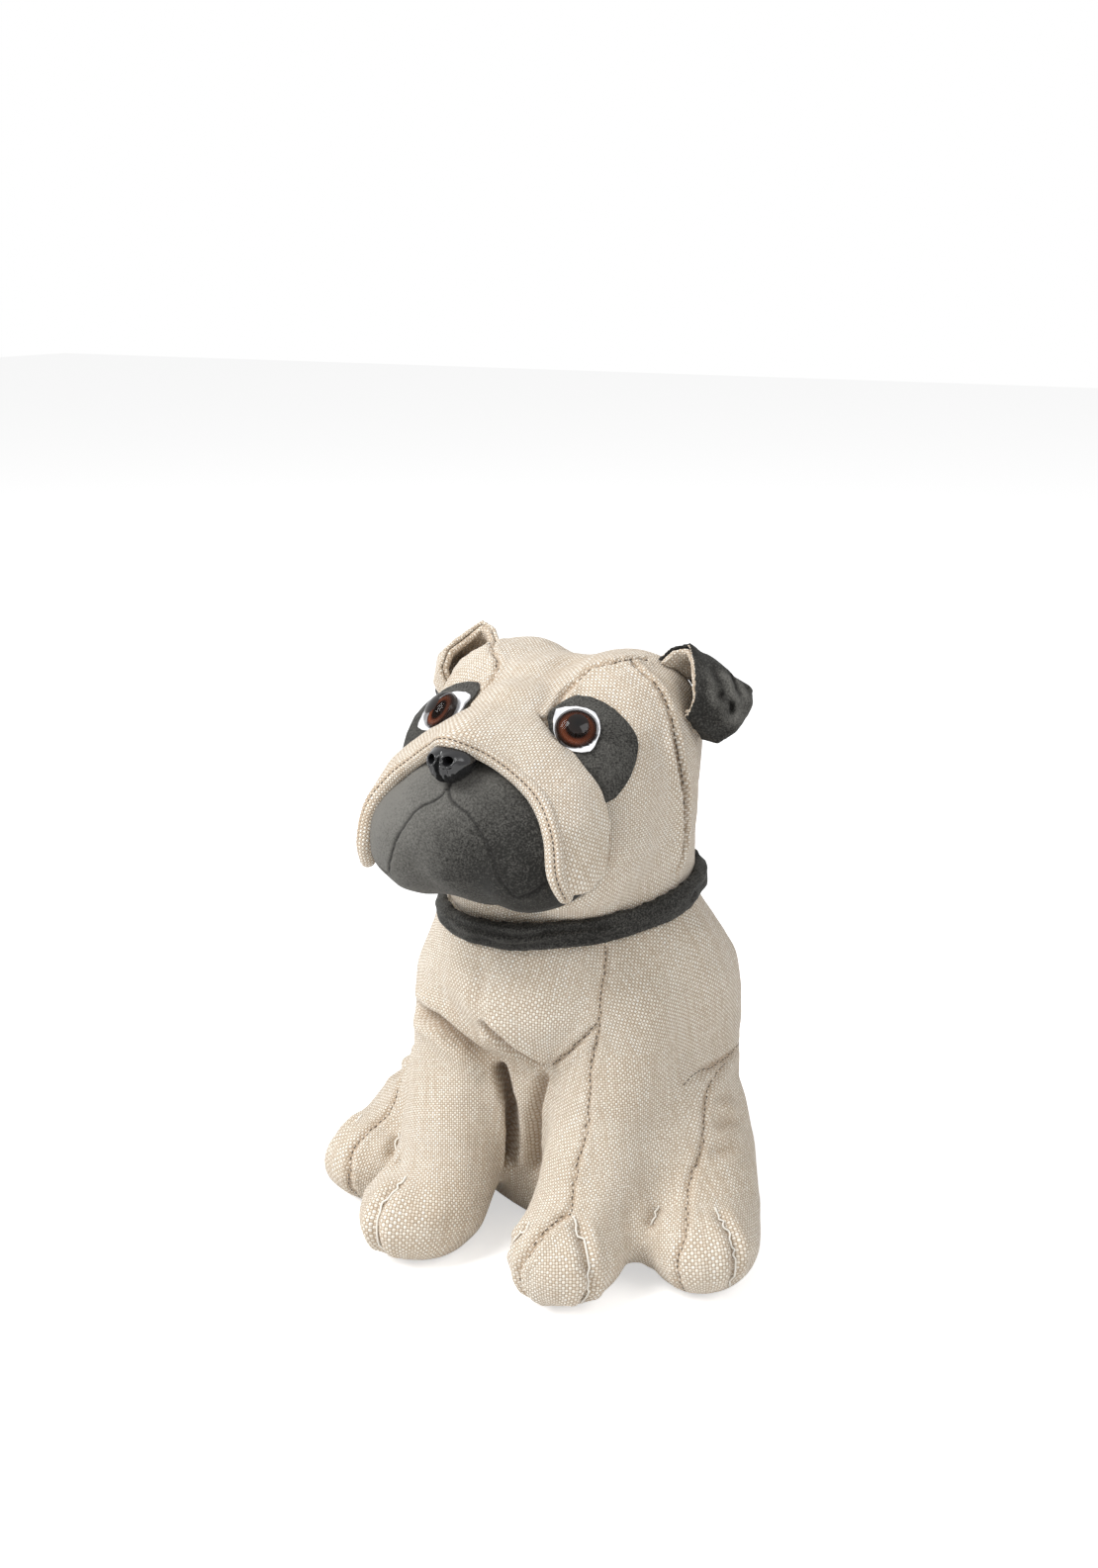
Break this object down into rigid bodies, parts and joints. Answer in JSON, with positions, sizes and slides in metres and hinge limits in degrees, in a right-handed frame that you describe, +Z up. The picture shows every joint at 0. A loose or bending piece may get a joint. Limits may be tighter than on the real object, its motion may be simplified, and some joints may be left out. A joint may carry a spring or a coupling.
{
  "type": "dog door stop",
  "caption": "Sewn and stuffed door stop in the shape of a sitting dog, with a padded lip flap over a bulging muzzle, soft cupped ears, a collar and a flat seat to rest on.",
  "frame": {"origin": "on the floor under the middle of the dog's bounding box", "axes": "+Z up, the dog faces -Y, its own left side is +X"},
  "size_m": [0.2244, 0.1926, 0.2785],
  "materials": {
    "linen": "coarse woven linen look, natural beige",
    "suede": "brushed suedette, charcoal",
    "felt": "white felt",
    "eye": "clear gloss over amber iris and black pupil",
    "nose": "gloss black"
  },
  "bodies": {
    "root": {"body": "linen", "head": "linen", "lip_flap": "linen", "muzzle": "suede", "nose": "nose", "collar": "suede", "eye_patch_left": "suede", "eye_patch_right": "suede", "eye_white_left": "felt", "eye_white_right": "felt", "eye_left": "eye", "eye_right": "eye", "ear_back_left": "suede", "ear_back_right": "suede", "ear_lining_left": "linen", "ear_lining_right": "linen"}
  },
  "joints": []
}
